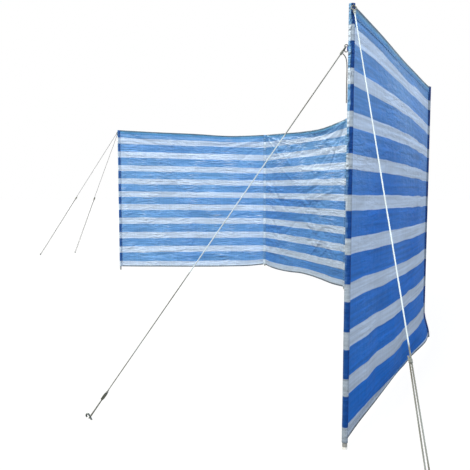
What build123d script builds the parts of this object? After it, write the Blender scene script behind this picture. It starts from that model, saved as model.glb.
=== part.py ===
"""Beach windbreak: striped cloth in four bays on five steel poles, with two guys at each end.

Millimetres, +Z up. The ground is z = 0, and the origin is the foot of the middle pole, where the
pole meets the ground. The cloth runs from pole_1 at the far left round to pole_5 at the near end.
Poles and pegs are cut off flat at the ground.
"""

import os
from math import asin, atan, atan2, cos, degrees, hypot, radians, sin, tan

from build123d import *

# Layout of the bays
bay_width = 1500.0  # from pole to pole
bay_headings = (11.3, -67.4, -84.4, -117.3)  # plan direction of each bay, from +X
bay_bulges = (12.0, 18.0, 26.0, 30.0)  # how far the wind pushes the middle of each bay out
middle_pole = 2  # counted from 0

# Cloth
cloth_height = 1360.0  # from hem to hem along a pole
hem_heights = (38.0, 18.0, 21.0, 10.0, 22.0)  # bottom hem above the ground at each pole
top_sags = (18.0, 35.0, 16.0, 6.0)  # top edge below the line from pole to pole
bottom_rises = (6.0, 18.0, 10.0, 8.0)  # bottom edge above that line
bay_cloth = 1.2  # thickness of a bay, crinkles and all
fold_cloth = 1.0  # thickness of a sewn fold of hem or sleeve
top_hem_width = 35.0
bottom_hem_width = 24.0
cloth_gap = 0.3  # between cloth and what it lies on

# Poles
pole_diameter = 16.0
pole_wall = 1.0
sleeve_lip = 9.0  # seam allowance that takes the edge of a bay
foot_collar = 8.0  # shoulder of the ground spike, above the ground
foot_shank = 60.0  # what goes up into the tube
foot_play = 0.2  # between shank and tube
foot_chamfer = 1.5
pole_head_gap = 2.0  # between the top of the tube and the closed end of its sleeve

# Guys
rope_diameter = 4.0
knot_diameter = 9.0
knot_length = 16.0
loop_knot_diameter = 10.5
loop_knot_length = 14.0
knot_end_share = 0.7  # of its diameter, at each end of a knot
ring_wire = 2.5
ring_corner = 3.5
ring_play = 0.9  # between a rope's eye and the tab that holds its link
eye_play = 1.2  # between the far side of an eye and the bar that it bears on
tab_inset = 1.0  # of the tab from each end of the link's straight side
runner_length = 28.0
runner_wall = 1.6  # plastic outside each bore
runner_web = 0.8  # plastic between the bores, at the end towards the pole
runner_belly = 1.2  # how far its sides stand out at the middle
runner_edge = 2.0
rope_gap = 0.3  # between a rope and what it runs round or through
peg_diameter = 6.0
peg_lean = 28.0  # degrees from upright, away from the cloth
peg_hook_radius = 6.0
peg_hook_turn = 180.0  # degrees
peg_tip = 4.0  # straight end of the hook
peg_play = 1.0  # between a peg and each leg of the rope's loop
peg_neck = 8.0  # straight shank above the loop
loop_height = 10.0  # where the rope goes round the peg
tail_diameter = 3.0

# name: (pole, plan direction, plan distance from pole to peg, place of the runner or loop knot along the rope)
guys = {
    "1a": (0, 135.0, 1758.0, 0.48),
    "1b": (0, 120.9, 1723.0, 0.48),
    "5a": (4, 165.7, 902.0, 0.924),
    "5b": (4, -86.5, 800.0, 0.67),
}
knotted_guys = ("5b",)  # whose loop is closed by a knot round both legs, with no runner
# name: (pole, plan direction, height of the link, top of the link below the top hem)
rings = {
    "1": (0, 128.0, 40.0, 6.0),
    "5a": (4, 165.7, 24.0, 118.0),
    "5b": (4, -86.5, 24.0, 6.0),
}
# guy: (its ring, its eye below the top of the link)
ties = {"1a": ("1", 12.0), "1b": ("1", 29.0), "5a": ("5a", 12.0), "5b": ("5b", 12.0)}
# The free end of rope 5a, from the knot down along the pocket: out from the pole, across, up
tail_guy = "5a"
tail_route = (
    (0.0, 0.0, 0.0),
    (-6.5, 0.3, -6.0),
    (-11.5, 1.5, -22.0),
    (-12.2, 3.4, -52.0),
    (-10.8, 2.2, -92.0),
    (-11.4, 3.6, -124.0),
    (-11.0, 2.6, -148.0),
)

sleeve_bore = pole_diameter / 2 + cloth_gap
sleeve_radius = sleeve_bore + fold_cloth
slot_half = bay_cloth / 2 + cloth_gap  # half the gap between two layers of a fold
fold_half = slot_half + fold_cloth
leg_spacing = peg_diameter + rope_diameter + 2 * peg_play  # of the loop round a peg
tab_radius = ring_wire / 2 + cloth_gap + fold_cloth  # of the fold of cloth round a link's back
ring_depth = rope_diameter + ring_wire / 2 + rope_gap + tab_radius + ring_play
back_bar = sleeve_radius + cloth_gap + ring_wire / 2  # from the pole's axis to a link's back

os.makedirs("parts", exist_ok=True)


def save(piece, name):
    piece.part.label = name
    export_step(piece.part, f"parts/{name}.step")


def along(angle):
    """Unit vector in plan."""
    return Vector(cos(radians(angle)), sin(radians(angle)), 0)


def pole_places():
    """Plan place of each pole, with the middle one at the origin."""
    places = [Vector(0, 0, 0)]
    for heading in bay_headings:
        places.append(places[-1] + along(heading) * bay_width)
    return [place - places[middle_pole] for place in places]


poles = pole_places()
tops = [height + cloth_height for height in hem_heights]
swings = [degrees(2 * atan(2 * bulge / bay_width)) for bulge in bay_bulges]  # of a bay's end from its chord


# Poles and their feet


def make_pole(index):
    with BuildPart() as pole:
        with BuildSketch(Plane(poles[index] + (0, 0, foot_collar))):
            Circle(pole_diameter / 2)
            Circle(pole_diameter / 2 - pole_wall, mode=Mode.SUBTRACT)
        extrude(amount=tops[index] - fold_cloth - pole_head_gap - foot_collar)
    save(pole, f"pole_{index + 1}")


def make_foot(index):
    shank_radius = pole_diameter / 2 - pole_wall - foot_play
    with BuildPart() as foot:
        with BuildSketch(Plane(poles[index])):
            Circle(pole_diameter / 2)
        extrude(amount=foot_collar)
        with BuildSketch(Plane(poles[index] + (0, 0, foot_collar))):
            Circle(shank_radius)
        extrude(amount=foot_shank)
        chamfer(foot.edges().group_by(Axis.Z)[-1], foot_chamfer)
    save(foot, f"pole_foot_{index + 1}")


# Cloth


def seam_angles(index):
    """Plan directions in which cloth leaves a pole."""
    angles = []
    if index > 0:
        angles.append(bay_headings[index - 1] - swings[index - 1] + 180)
    if index < len(bay_headings):
        angles.append(bay_headings[index] + swings[index])
    return angles


def link_top(ring):
    """Height of the middle of a link's upper wire."""
    pole, _, _, drop = rings[ring]
    return tops[pole] - drop - ring_wire / 2


def make_sleeve(index):
    """A pocket round the pole, closed at the top, whose lips hold the edges of the bays.

    A tab sewn to the pocket of an end pole is folded round the back of each wire link.
    """
    lip_end = sleeve_radius + sleeve_lip
    base = Plane(poles[index] + (0, 0, hem_heights[index]))
    with BuildPart() as sleeve:
        with BuildSketch(base):
            Circle(sleeve_radius)
            for angle in seam_angles(index):
                with Locations(Location(along(angle) * lip_end / 2, (0, 0, angle))):
                    Rectangle(lip_end, 2 * fold_half)
        extrude(amount=cloth_height)
        with BuildSketch(base):
            Circle(sleeve_bore)
            for angle in seam_angles(index):
                middle = along(angle) * (sleeve_radius + lip_end) / 2
                with Locations(Location(middle, (0, 0, angle))):
                    Rectangle(lip_end - sleeve_radius, 2 * slot_half)
        extrude(amount=cloth_height - fold_cloth, mode=Mode.SUBTRACT)
        for ring, (pole, angle, height, _) in rings.items():
            if pole != index:
                continue
            inset = ring_corner + tab_inset
            low = poles[pole] + (0, 0, link_top(ring) - height + ring_wire + inset)
            with BuildSketch(Plane(low, x_dir=along(angle), z_dir=(0, 0, 1))):
                with Locations((back_bar / 2, 0)):
                    Rectangle(back_bar, 2 * tab_radius)
                with Locations((back_bar, 0)):
                    Circle(tab_radius)
                    Circle(ring_wire / 2 + cloth_gap, mode=Mode.SUBTRACT)
                Circle(sleeve_bore, mode=Mode.SUBTRACT)
            extrude(amount=height - ring_wire - 2 * inset)
    save(sleeve, f"sleeve_{index + 1}")


def top_edge(index, drop):
    """Three points of a line that runs this far below the top edge of a bay, seen square to the bay."""
    left, right = tops[index] - drop, tops[index + 1] - drop
    return (0, left), (bay_width / 2, (left + right) / 2 - top_sags[index]), (bay_width, right)


def bottom_edge(index, lift):
    """Three points of a line that runs this far above the bottom edge of a bay."""
    left, right = hem_heights[index] + lift, hem_heights[index + 1] + lift
    return (0, left), (bay_width / 2, (left + right) / 2 + bottom_rises[index]), (bay_width, right)


def bay_layer(index, thickness, setback, upper, lower):
    """The bay's curved sheet as thick as stated, between two edges and clear of the poles' axes."""
    start, end = poles[index], poles[index + 1]
    middle = (start + end) / 2 + along(bay_headings[index] + 90) * bay_bulges[index]
    elevation = Plane(start, x_dir=along(bay_headings[index]), z_dir=along(bay_headings[index] - 90))
    with BuildPart(mode=Mode.PRIVATE) as layer:
        with BuildSketch():
            with BuildLine():
                ThreePointArc(start, middle, end)
            trace(line_width=thickness)
            with Locations(start, end):
                Circle(setback, mode=Mode.SUBTRACT)
        extrude(amount=max(tops))
        with BuildSketch(elevation):
            with BuildLine():
                ThreePointArc(*upper)
                Line(upper[2], lower[2])
                ThreePointArc(*reversed(lower))
                Line(lower[0], upper[0])
            make_face()
        extrude(amount=bay_width / 2, both=True, mode=Mode.INTERSECT)
    return layer.part


def make_bay(index):
    fold = fold_cloth + cloth_gap
    with BuildPart() as bay:
        add(
            bay_layer(
                index, bay_cloth, sleeve_radius + cloth_gap, top_edge(index, fold), bottom_edge(index, fold)
            )
        )
    save(bay, f"bay_{index + 1}")


def make_hems(index):
    """The folded bands over the top and bottom edges of a bay, between the lips of the sleeves."""
    lip_clear = sleeve_radius + sleeve_lip + cloth_gap
    band, slot = 2 * fold_half, 2 * slot_half
    fold_line = top_edge(index, fold_cloth)
    with BuildPart() as top_hem:
        add(bay_layer(index, band, lip_clear, top_edge(index, 0), top_edge(index, top_hem_width)))
        add(bay_layer(index, slot, sleeve_radius, fold_line, bottom_edge(index, 0)), mode=Mode.SUBTRACT)
    save(top_hem, f"top_hem_{index + 1}")
    fold_line = bottom_edge(index, fold_cloth)
    with BuildPart() as bottom_hem:
        add(bay_layer(index, band, lip_clear, bottom_edge(index, bottom_hem_width), bottom_edge(index, 0)))
        add(bay_layer(index, slot, sleeve_radius, top_edge(index, 0), fold_line), mode=Mode.SUBTRACT)
    save(bottom_hem, f"bottom_hem_{index + 1}")


# Guys


def link_bar(ring):
    """Plan place of a link's outer bar."""
    pole, angle, _, _ = rings[ring]
    return poles[pole] + along(angle) * (back_bar + ring_depth)


def make_ring(name):
    """A wire link that stands upright against the pocket."""
    pole, angle, height, _ = rings[name]
    link_height = height - ring_wire
    corner = poles[pole] + along(angle) * back_bar + (0, 0, link_top(name) - link_height)
    upright = Plane(corner, x_dir=along(angle), z_dir=along(angle - 90))
    with BuildPart() as ring:
        with BuildLine(upright) as route:
            FilletPolyline(
                (0, 0),
                (0, link_height),
                (ring_depth, link_height),
                (ring_depth, 0),
                radius=ring_corner,
                close=True,
            )
        with BuildSketch(Plane(route.line @ 0, z_dir=route.line % 0)):
            Circle(ring_wire / 2)
        sweep(path=route.line)
    save(ring, f"guy_ring_{name}")


def guy_line(name):
    """Plane of a guy, with x across, y down along the rope and z square to both, and its length."""
    pole, angle, reach, _ = guys[name]
    ring, eye_drop = ties[name]
    start = link_bar(ring) + (0, 0, tops[pole] - rings[ring][3] - eye_drop)
    end = poles[pole] + along(angle) * reach + (0, 0, loop_height)
    down = (end - start).normalized()
    across = down.cross(Vector(0, 0, 1)).normalized()
    return Plane(start, x_dir=across, z_dir=across.cross(down)), (end - start).length


def barrel_knot(x, y, length, diameter=knot_diameter):
    """Half the outline of a wound knot, on the right of an axis that runs along y."""
    radius = diameter / 2
    rim = x + radius * knot_end_share
    with BuildLine() as outline:
        Line((x, y), (rim, y))
        ThreePointArc((rim, y), (x + radius, y + length / 2), (rim, y + length))
        Line((rim, y + length), (x, y + length))
        Line((x, y + length), (x, y))
    make_face(outline.edges())


def eye_and_knot(line):
    """How far along the guy the middle of the eye is, the eye's radius and the start of the knot."""
    upright_share = line.z_dir.Z  # the bar is upright, and slants through the eye by this much
    rope_and_bar = rope_diameter / 2 + ring_wire / 2
    bearing = (rope_and_bar + rope_gap) / upright_share
    radius = (bearing + (rope_and_bar + eye_play) / upright_share) / 2
    return radius - bearing, radius, 2 * radius - bearing


def return_leg(name):
    """Where the leg that comes back from the peg ends, and how far it slants towards the other leg.

    The slant is in degrees, and the leg touches the round of the loop at the peg.
    """
    _, length = guy_line(name)
    place = guys[name][3] * length
    if name in knotted_guys:
        end = Vector(rope_diameter + 2 * rope_gap, place)
    else:
        end = Vector(rope_diameter + 2 * rope_gap + runner_web, place - rope_gap)
    radius = leg_spacing / 2
    inward, up = radius - end.X, length - end.Y
    return end, degrees(asin(radius / hypot(inward, up)) + atan2(inward, up))


def make_rope(name):
    """Eye and knot at the ring, the long leg, the loop round the peg and a stop knot at the runner."""
    line, length = guy_line(name)
    eye_middle, eye_radius, knot_start = eye_and_knot(line)
    end, slant = return_leg(name)
    with BuildPart() as rope:
        with BuildLine(line) as route:
            Line((0, knot_start), (0, length))
            loop = JernArc((0, length), (0, 1), leg_spacing / 2, -180 - slant)
            Line(loop @ 1, (end.X, end.Y))
        with BuildSketch(Plane(route.line @ 0, z_dir=route.line % 0)):
            Circle(rope_diameter / 2)
        sweep(path=route.line)
        with Locations(line.location * Pos(0, eye_middle, 0)):
            Torus(eye_radius, rope_diameter / 2)
        with BuildSketch(line):
            barrel_knot(0, knot_start, knot_length)
        revolve(axis=Axis(line.origin, line.y_dir))
        if name in knotted_guys:
            axis = end.X / 2
            with BuildSketch(line):
                barrel_knot(axis, end.Y - loop_knot_length / 2, loop_knot_length, loop_knot_diameter)
        else:
            axis = end.X
            with BuildSketch(line):
                barrel_knot(axis, end.Y - knot_diameter, knot_diameter)
        revolve(axis=Axis(line.origin + line.x_dir * axis, line.y_dir))
    save(rope, f"guy_rope_{name}")


def make_tail():
    """The rope's free end, which leaves the underside of the knot and hangs."""
    line, _ = guy_line(tail_guy)
    knot_middle = line.origin + line.y_dir * (eye_and_knot(line)[2] + knot_length / 2)
    start = knot_middle - line.z_dir * (knot_diameter / 2 + cloth_gap)
    out = along(guys[tail_guy][1])
    across = along(guys[tail_guy][1] + 90)
    points = [start + out * x + across * y + (0, 0, z) for x, y, z in tail_route]
    radii = []
    for before, corner, after in zip(points, points[1:], points[2:]):
        turn = (corner - before).get_angle(after - corner)
        shorter = min((corner - before).length, (after - corner).length)
        radii.append(0.45 * shorter / tan(radians(turn) / 2))
    print("tail radii", [round(radius, 1) for radius in radii])
    with BuildPart() as tail:
        with BuildLine() as route:
            FilletPolyline(*points, radius=radii)
        with BuildSketch(Plane(route.line @ 0, z_dir=route.line % 0)):
            Circle(tail_diameter / 2)
        sweep(path=route.line)
    print("tail length", round(sum(edge.length for edge in route.edges()), 1))
    save(tail, f"guy_tail_{tail_guy}")


def make_runner(name):
    """A leaf-shaped slider with a bore for each leg of the rope."""
    line, length = guy_line(name)
    start = guys[name][3] * length
    bore = rope_diameter / 2 + rope_gap
    leg, slant = return_leg(name)
    half_width = bore + runner_wall
    spread = runner_length * tan(radians(slant))  # of the legs, from one end of the runner to the other
    left, right = -half_width, leg.X + half_width
    middle, end = start + runner_length / 2, start + runner_length
    with BuildPart() as runner:
        with BuildSketch(line):
            with BuildLine():
                Line((left, start), (right, start))
                ThreePointArc((right, start), (right + spread / 2 + runner_belly, middle), (right + spread, end))
                Line((right + spread, end), (left, end))
                ThreePointArc((left, end), (left - runner_belly, middle), (left, start))
            make_face()
        extrude(amount=half_width, both=True)
        fillet(runner.edges().filter_by(Axis(line.origin, line.z_dir)), runner_edge)
        back = line.y_dir * cos(radians(slant)) + line.x_dir * sin(radians(slant))
        far = line.origin + line.x_dir * leg.X + line.y_dir * leg.Y
        for origin, way in ((line.origin + line.y_dir * start, line.y_dir), (far, back)):
            with BuildSketch(Plane(origin - way * runner_edge, z_dir=way)):
                Circle(bore)
            extrude(amount=runner_length + 3 * runner_edge, mode=Mode.SUBTRACT)
    save(runner, f"guy_runner_{name}")


def make_peg(name):
    """A wire peg that leans away from the cloth, with its hook open on the far side."""
    line, length = guy_line(name)
    outward = Vector(line.y_dir.X, line.y_dir.Y, 0).normalized()
    lean = radians(peg_lean)
    shank = outward * sin(lean) + Vector(0, 0, cos(lean))
    slant = shank.dot(line.z_dir)  # the shank stands this far from square to the rope's loop
    offset = leg_spacing / 2 - (peg_diameter / 2 + rope_diameter / 2 + rope_gap) / slant
    seat = line.origin + line.x_dir * leg_spacing / 2 + line.y_dir * (length + offset)
    side = Plane(seat, x_dir=outward, z_dir=outward.cross(Vector(0, 0, 1)))
    below = 2 * loop_height  # far enough down to pass the ground
    with BuildPart() as peg:
        with BuildLine(side) as route:
            foot = (-below * sin(lean), -below * cos(lean))
            straight = Line(foot, (peg_neck * sin(lean), peg_neck * cos(lean)))
            hook = JernArc(straight @ 1, straight % 1, peg_hook_radius, -peg_hook_turn)
            Line(hook @ 1, hook @ 1 + (hook % 1) * peg_tip)
        with BuildSketch(Plane(route.line @ 0, z_dir=route.line % 0)):
            Circle(peg_diameter / 2)
        sweep(path=route.line)
        split(bisect_by=Plane.XY, keep=Keep.TOP)
        rims = peg.edges().filter_by(GeomType.CIRCLE).filter_by(lambda rim: rim.radius < peg_hook_radius)
        fillet(rims.sort_by_distance(route.line @ 1)[0], peg_diameter / 4)
    save(peg, f"guy_peg_{name}")


for pole_index in range(len(poles)):
    make_pole(pole_index)
    make_foot(pole_index)
    make_sleeve(pole_index)
for bay_index in range(len(bay_headings)):
    make_bay(bay_index)
    make_hems(bay_index)
for ring_name in rings:
    make_ring(ring_name)
for guy_name in guys:
    make_rope(guy_name)
    if guy_name not in knotted_guys:
        make_runner(guy_name)
    make_peg(guy_name)
make_tail()
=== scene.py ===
"""Looks of the beach windbreak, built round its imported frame. Metres, +Z up, the ground at z = 0.

X runs along the far bays, Y away from the camera. The origin is the foot of the middle pole.
"""

from functools import lru_cache
from math import asin, atan, atan2, cos, exp, hypot, pi, radians, sin, sqrt

import bmesh
import bpy
from mathutils import Matrix, Vector, noise


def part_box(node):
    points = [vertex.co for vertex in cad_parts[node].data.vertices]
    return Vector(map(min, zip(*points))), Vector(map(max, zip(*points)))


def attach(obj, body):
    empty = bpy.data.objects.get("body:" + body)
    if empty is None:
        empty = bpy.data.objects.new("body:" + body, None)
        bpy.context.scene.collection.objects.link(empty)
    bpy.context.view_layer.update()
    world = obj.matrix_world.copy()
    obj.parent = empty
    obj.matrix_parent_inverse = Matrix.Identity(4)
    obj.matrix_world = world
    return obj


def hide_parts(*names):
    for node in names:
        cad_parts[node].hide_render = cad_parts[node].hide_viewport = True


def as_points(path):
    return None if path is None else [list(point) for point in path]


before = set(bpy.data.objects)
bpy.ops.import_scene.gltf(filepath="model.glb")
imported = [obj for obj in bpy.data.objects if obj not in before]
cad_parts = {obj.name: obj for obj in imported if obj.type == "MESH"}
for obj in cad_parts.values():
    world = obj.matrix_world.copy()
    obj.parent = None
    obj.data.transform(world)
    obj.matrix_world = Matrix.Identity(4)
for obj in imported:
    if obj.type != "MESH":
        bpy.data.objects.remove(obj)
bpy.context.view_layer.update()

MM = 0.001

# Cloth
CLOTH_HEIGHT = 1360 * MM
BULGES = (12 * MM, 18 * MM, 26 * MM, 30 * MM)  # of the middle of each bay, to its outer side
# How far each bay's top edge sags and its bottom edge rises, in mm at even steps along it
TOP_SAGS = ((0, 8, 12, 22, 0), (0, 18, 36, 40, 0), (0, 10, 16, 10, 0), (0, -2, 2, 3, 0))
BOTTOM_RISES = (
    (0, -5, -8, -12, -15, -17, -17, -15, 0),
    (0, -15, -15, -6, 10, 13, 7, -4, 0),
    (0, 8, 10, 8, 0),
    (0, 6, 8, 6, 0),
)
# How far the cloth under the top edge rolls to its outer side, in mm at even steps along each bay
ROLLS = ((0, -3, -5, -9, 0), (0, -6, -2, 13, 0), (0, -4, -6, -4, 0), (0, 0, 0, 0, 0))
TOP_HEM = 35 * MM
BOTTOM_HEM = 24 * MM
BAY_THICKNESS = 0.8 * MM
FOLD_THICKNESS = 0.7 * MM
EDGE_INSET = 1.3 * MM  # of a bay's raw edge inside its hem
FOLD_HALF = 1.9 * MM  # from the middle of the cloth to the outside of a fold
POCKET_RADIUS = 9.3 * MM
LIP = 9 * MM  # of a pocket beyond its tube, over the edge of a bay
LIP_LEAVE = 52  # degrees round the tube at which a lip leaves it
LIP_NECK = 4.5 * MM  # over which a lip narrows to the fold
SPINE_BACK = 7 * MM  # from a lip's outline to the spine that it closes on
ROUND_STEP = 16  # degrees between points round a tube
BAY_GAP = 0.4 * MM  # between a pocket's tube and the edge of a bay
SEAM_INSET = 4.2 * MM  # from a hem's sewn edge to its stitches
LIP_SEAM = 3 * MM  # from a lip's edge to its stitches
SEAM_CLEAR = 18.6 * MM  # from a pole's axis to the end of a hem
# From the top edge to the middle of each white stripe, in mm. The stripes widen towards the bottom,
# and the last bay was cut from another length of cloth than the first ones
FAR_PRINT = (102, 238, 373, 502, 631, 758, 898, 1043, 1188, 1336)
TURN_PRINT = (100, 232, 354, 480, 610, 751, 898, 1049, 1197, 1366)
NEAR_PRINT = (100, 226, 346, 473, 602, 740, 886, 1034, 1184, 1384)
END_PRINT = (86, 213, 341, 468, 595, 730, 876, 1029, 1179, 1338)
# For each bay, the print at its first pole, its middle and its second pole
PRINTS = (
    (FAR_PRINT, FAR_PRINT, FAR_PRINT),
    (FAR_PRINT, FAR_PRINT, FAR_PRINT),
    (FAR_PRINT, FAR_PRINT, TURN_PRINT),
    (TURN_PRINT, NEAR_PRINT, END_PRINT),
)
WHITE_SHARES = (0.43, 0.43, 0.4, 0.36)  # of the pitch, in each bay
WIDEST_WHITE = 62 * MM

# Guys: pole, plan direction in degrees, plan reach, place of the runner or loop knot along the rope
GUYS = {
    "1a": (0, 135.0, 1758 * MM, 0.48),
    "1b": (0, 120.9, 1723 * MM, 0.48),
    "5a": (4, 165.7, 902 * MM, 0.924),
    "5b": (4, -86.5, 800 * MM, 0.67),
}
# Links: pole, plan direction, height, top below the cloth's top
RINGS = {
    "1": (0, 128.0, 40 * MM, 6 * MM),
    "5a": (4, 165.7, 24 * MM, 118 * MM),
    "5b": (4, -86.5, 24 * MM, 6 * MM),
}
# Guy: its link, its eye below the top of the link
TIES = {"1a": ("1", 12 * MM), "1b": ("1", 29 * MM), "5a": ("5a", 12 * MM), "5b": ("5b", 12 * MM)}
KNOTTED = "5b"  # the guy whose loop is closed by a knot, with no runner
ROPE_RADIUS = 2 * MM
ROPE_GAP = 0.3 * MM
RUNNER_WEB = 0.8 * MM  # of plastic between a runner's bores
WIRE_RADIUS = 1.25 * MM
LINK_BACK = 10.85 * MM  # from a pole's axis to the back of its link
LINK_DEPTH = 9 * MM
LINK_CORNER = 4.5 * MM  # that the tab leaves free at each end
EYE_PLAY = 1.2 * MM  # between the far side of an eye and the bar that it bears on
LEG_SPACING = 12 * MM
LOOP_HEIGHT = 10 * MM
KNOT_LENGTH = 16 * MM
KNOT_RADIUS = 4.5 * MM
STOP_KNOT_LENGTH = 9 * MM
LOOP_KNOT_LENGTH = 14 * MM
LOOP_KNOT_RADIUS = 5.2 * MM
KNOT_TURNS, STOP_KNOT_TURNS, LOOP_KNOT_TURNS = 4.0, 2.0, 3.0  # of rope wound into each knot
ROPE_LAY = 20 * MM  # length of one turn of the strands
ROPE_STEP, FINE_STEP = 1.9 * MM, 1.2 * MM  # along a rope, and round its bends
EYE_OPENING = 28  # degrees on each side of an eye's neck


# Node materials


BLACK, WHITE = (0, 0, 0, 1), (1, 1, 1, 1)
# Whites, clean and greyed: the greying is part soil and part painted shade
CLEAN_WHITE, GREYED_WHITE = "#D0E3FA", "#A9B6C8"
# Darkening multiplied in: part grime, part painted shade along seams, hem edges and pocket sides
# Pale lines on creases, part whitened film and part painted highlight
CREASE_WHITE_AND_GLINT, GRIME_AND_SHADE_COLOUR = "#E4EFFA", "#6F767D"
STRIPE_WANDER = 0.016  # of the stripes' pitch


def linear(code):
    """Linear colour of an sRGB hex value."""
    parts = [int(code[i : i + 2], 16) / 255 for i in (1, 3, 5)]
    return [c / 12.92 if c <= 0.04045 else ((c + 0.055) / 1.055) ** 2.4 for c in parts] + [1.0]


def add(tree, kind, inputs=(), stops=(), **settings):
    """Adds a node. inputs gives sockets, in order or by name, a value, a node or one of its outputs.

    stops fills a ramp. A MapRange takes a value, the range that it comes from and the one it goes to.
    """
    made = tree.nodes.new("ShaderNode" + kind)
    for name, value in settings.items():
        setattr(made, name, value)
    if not isinstance(inputs, dict):
        inputs = dict(enumerate(inputs))
    for name, value in inputs.items():
        if isinstance(value, bpy.types.Node):
            value = value.outputs[0]
        if isinstance(value, bpy.types.NodeSocket):
            tree.links.new(value, made.inputs[name])
        else:
            made.inputs[name].default_value = value
    if stops:
        elements = made.color_ramp.elements
        while len(elements) < len(stops):
            elements.new(0.5)
        for element, (place, colour) in zip(elements, stops):
            element.position = place
            element.color = colour
    return made


def new_material(name):
    """An empty node material, its tree and its output."""
    made = bpy.data.materials.new(name)
    made.use_nodes = True
    made.node_tree.nodes.clear()
    return made, made.node_tree, add(made.node_tree, "OutputMaterial")


def woven_cloth(name, gloss, creases, relief, see_through, deep, pale):
    """Woven polyethylene tape cloth with a thin film on it: slightly glossy, slightly translucent.

    The mesh says how many stripes a point is from the top, how pale its blue is, how grey its whites are
    and how dark it is. These stand partly for fading, soiling and grime and partly for painted light and
    shade.
    """
    made, tree, out = new_material(name)
    uv = add(tree, "UVMap", uv_map="cloth")
    turns = add(tree, "Attribute", attribute_name="turns").outputs["Fac"]
    wear_and_light = add(tree, "Attribute", attribute_name="wear_and_light").outputs["Vector"]
    pale_share, grey_share, grime_and_shade_share = add(tree, "SeparateXYZ", {0: wear_and_light}).outputs
    # Stripe edges that wander by under a millimetre, as the tapes do
    wander = add(tree, "TexNoise", {"Vector": uv, "Scale": 28.0, "Detail": 3.0})
    shifted = add(tree, "Math", (wander, STRIPE_WANDER, turns), operation="MULTIPLY_ADD")
    place = add(tree, "Math", {0: shifted}, operation="FRACT")
    low, high, soft = 0.258, 0.758, 0.009
    printed = add(
        tree, "ValToRGB",
        {0: place},
        stops=((low - soft, BLACK), (low + soft, WHITE), (high - soft, WHITE), (high + soft, BLACK)),
    )
    blue = add(tree, "Mix", {0: pale_share, 6: linear(deep), 7: linear(pale)}, data_type="RGBA").outputs[2]
    whites = {0: grey_share, 6: linear(CLEAN_WHITE), 7: linear(GREYED_WHITE)}
    white = add(tree, "Mix", whites, data_type="RGBA").outputs[2]
    stripe = add(tree, "Mix", {0: printed, 6: blue, 7: white}, data_type="RGBA").outputs[2]
    # Tapes of uneven shade, 12 mm apart as drawn, because real ones of 2.5 mm are too fine to show
    long_way = add(tree, "Mapping", {"Vector": uv, "Scale": (1.6, 84.0, 1.0)})
    tapes = add(tree, "TexNoise", {"Vector": long_way, "Scale": 1.0, "Detail": 2.0})
    across = add(tree, "Mapping", {"Vector": uv, "Scale": (110.0, 4.0, 1.0)})
    weft = add(tree, "TexNoise", {"Vector": across, "Scale": 1.0, "Detail": 1.0})
    # Broad patches 200 mm across where the film has dulled
    patches = add(tree, "TexNoise", {"Vector": uv, "Scale": 5.0, "Detail": 4.0})
    threads = add(tree, "Math", (weft, 0.3, tapes), operation="MULTIPLY_ADD")
    shade = add(tree, "MapRange", (threads, 0.42, 0.88, 0.8, 1.12))
    dull = add(tree, "MapRange", (patches, 0.3, 0.7, 0.93, 1.06))
    level = add(tree, "Math", (shade, dull), operation="MULTIPLY")
    toned = add(tree, "HueSaturation", {"Color": stripe, "Value": level})
    # Film whitened along creases some 300 mm long and 20 mm apart, where the cloth has been folded most.
    # The pale lines also stand in for glints, so they are part painted highlight
    cells = add(tree, "Mapping", {"Vector": uv, "Scale": (2.6, 46.0, 1.0)})
    folds = add(tree, "TexNoise", {"Vector": cells, "Scale": 1.0, "Detail": 1.0})
    line = add(tree, "ValToRGB", {0: folds}, stops=((0.46, BLACK), (0.5, WHITE), (0.53, BLACK)))
    where = add(tree, "MapRange", (patches, 0.47, 0.66, 0.0, creases))
    old = add(tree, "MapRange", (pale_share, 0.55, 0.95))
    whitening_and_glint = add(tree, "Math", (where, old), operation="MULTIPLY")
    amount = add(tree, "Math", (line, whitening_and_glint), operation="MULTIPLY")
    colour = add(tree, "Mix", {0: amount, 6: toned, 7: linear(CREASE_WHITE_AND_GLINT)}, data_type="RGBA").outputs[2]
    # Darkening: part grime, part painted shade
    grimed_and_shaded = {0: grime_and_shade_share, 6: colour, 7: linear(GRIME_AND_SHADE_COLOUR)}
    colour = add(tree, "Mix", grimed_and_shaded, data_type="RGBA", blend_type="MULTIPLY").outputs[2]
    # Relief: tapes, and creases too fine for the mesh
    crumple = add(tree, "Mapping", {"Vector": uv, "Scale": (16.0, 62.0, 1.0)})
    dents = add(tree, "TexNoise", {"Vector": crumple, "Scale": 1.0, "Detail": 3.0})
    fine = add(tree, "Bump", {"Height": threads, "Strength": 0.35, "Distance": 0.25 * MM})
    # The paler a bay, taken as more folded and bleached, the deeper its creases, and they come in patches
    depth = add(tree, "MapRange", {"Value": pale_share, "To Min": 0.3, "To Max": 1.1})
    crowd = add(tree, "MapRange", (patches, 0.4, 0.64, 0.25, 1.3))
    deep_in = add(tree, "Math", (depth, crowd), operation="MULTIPLY")
    hollow = add(tree, "Math", (dents, deep_in), operation="MULTIPLY")
    coarse = add(tree, "Bump", {"Height": hollow, "Strength": 0.9, "Distance": relief, "Normal": fine})
    rough = add(tree, "MapRange", (dents, 0.3, 0.7, 0.54, 0.7))
    # Cloth whose blue is deep is taken as not polished by wind and sand either, so it is more matt
    matt = add(tree, "Math", (pale_share, -0.26, rough), operation="MULTIPLY_ADD")
    face = add(
        tree, "BsdfPrincipled",
        {"Base Color": colour, "Roughness": matt, "Normal": coarse, "Specular IOR Level": gloss},
    )
    through = add(tree, "BsdfTranslucent", {"Color": colour, "Normal": coarse})
    lit = add(tree, "MixShader", (see_through, face, through))
    tree.links.new(lit.outputs[0], out.inputs[0])
    return made


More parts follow.
